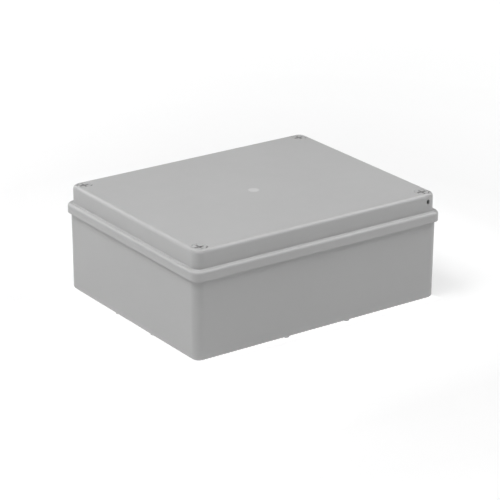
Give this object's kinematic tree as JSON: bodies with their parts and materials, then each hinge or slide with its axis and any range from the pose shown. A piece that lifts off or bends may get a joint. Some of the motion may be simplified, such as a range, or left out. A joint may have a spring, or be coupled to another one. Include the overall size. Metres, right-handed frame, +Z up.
{
  "type": "electrical junction box",
  "caption": "Rectangular grey plastic surface-mounting junction box with plain walls, low lifting lid, quarter-turn corner screws and terminals on a rail inside.",
  "frame": {"origin": "middle of the footprint, on the plane of the stand-off pips under the base", "axes": "+X along the long side, -Y out of the long front face, +Z up out of the lid"},
  "size_m": [0.2512, 0.2012, 0.0962],
  "materials": {
    "box_plastic": "fine-grained light grey moulding, matt",
    "screw_plastic": "light grey moulded nylon, matt",
    "gasket_foam": "closed-cell foam cord, matt",
    "seal_rubber": "black nitrile",
    "retainer_steel": "stainless spring steel",
    "receptacle_nylon": "dark grey glass-filled nylon",
    "plug_plastic": "light grey polythene, slight gloss",
    "rail_steel": "zinc plated",
    "fastener_steel": "zinc plated",
    "terminal_grey": "grey polyamide",
    "terminal_blue": "blue polyamide",
    "terminal_green": "green polyamide with a yellow stripe",
    "marker_white": "white polyamide tag, blank",
    "bar_copper": "tinned copper alloy",
    "spring_steel": "bright spring steel"
  },
  "bodies": {
    "base": {"base_box": "box_plastic", "screw_receptacle_front_left": "receptacle_nylon", "screw_receptacle_front_right": "receptacle_nylon", "screw_receptacle_rear_right": "receptacle_nylon", "screw_receptacle_rear_left": "receptacle_nylon", "din_rail": "rail_steel", "rail_screws": "fastener_steel", "end_stop_screws": "fastener_steel", "terminal_line_1": "terminal_grey", "terminal_line_2": "terminal_grey", "terminal_line_3": "terminal_grey", "terminal_line_4": "terminal_grey", "terminal_line_5": "terminal_grey", "terminal_neutral_1": "terminal_blue", "terminal_neutral_2": "terminal_blue", "terminal_earth": "terminal_green", "terminal_end_plate": "terminal_grey", "terminal_markers": "marker_white", "end_stop_left": "terminal_grey", "end_stop_right": "terminal_grey", "terminal_current_bars": "bar_copper", "terminal_clamp_springs": "spring_steel"},
    "lid": {"lid": "box_plastic", "lid_gasket": "gasket_foam"},
    "screw_front_left": {"lid_screw_front_left": "screw_plastic", "screw_seal_front_left": "seal_rubber", "screw_retainer_front_left": "retainer_steel"},
    "screw_front_right": {"lid_screw_front_right": "screw_plastic", "screw_seal_front_right": "seal_rubber", "screw_retainer_front_right": "retainer_steel"},
    "screw_rear_right": {"lid_screw_rear_right": "screw_plastic", "screw_seal_rear_right": "seal_rubber", "screw_retainer_rear_right": "retainer_steel"},
    "screw_rear_left": {"lid_screw_rear_left": "screw_plastic", "screw_seal_rear_left": "seal_rubber", "screw_retainer_rear_left": "retainer_steel"},
    "plug_front_left": {"wall_plug_front_left": "plug_plastic"},
    "plug_front_right": {"wall_plug_front_right": "plug_plastic"},
    "plug_rear_right": {"wall_plug_rear_right": "plug_plastic"},
    "plug_rear_left": {"wall_plug_rear_left": "plug_plastic"}
  },
  "joints": [
    {"name": "lid_lift", "type": "slide", "parent": "base", "child": "lid", "axis": [0, 0, 1], "range_m": [0, 0.08]},
    {"name": "screw_turn_front_left", "type": "hinge", "parent": "lid", "child": "screw_front_left", "pos_m": [-0.1128, -0.0878, 0.09], "axis": [0, 0, 1], "range_deg": [-90, 0]},
    {"name": "screw_turn_front_right", "type": "hinge", "parent": "lid", "child": "screw_front_right", "pos_m": [0.1128, -0.0878, 0.09], "axis": [0, 0, 1], "range_deg": [-90, 0]},
    {"name": "screw_turn_rear_right", "type": "hinge", "parent": "lid", "child": "screw_rear_right", "pos_m": [0.1128, 0.0878, 0.09], "axis": [0, 0, 1], "range_deg": [-90, 0]},
    {"name": "screw_turn_rear_left", "type": "hinge", "parent": "lid", "child": "screw_rear_left", "pos_m": [-0.1128, 0.0878, 0.09], "axis": [0, 0, 1], "range_deg": [-90, 0]},
    {"name": "plug_pull_front_left", "type": "slide", "parent": "base", "child": "plug_front_left", "axis": [0, 0, 1], "range_m": [0, 0.012]},
    {"name": "plug_pull_front_right", "type": "slide", "parent": "base", "child": "plug_front_right", "axis": [0, 0, 1], "range_m": [0, 0.012]},
    {"name": "plug_pull_rear_right", "type": "slide", "parent": "base", "child": "plug_rear_right", "axis": [0, 0, 1], "range_m": [0, 0.012]},
    {"name": "plug_pull_rear_left", "type": "slide", "parent": "base", "child": "plug_rear_left", "axis": [0, 0, 1], "range_m": [0, 0.012]}
  ]
}
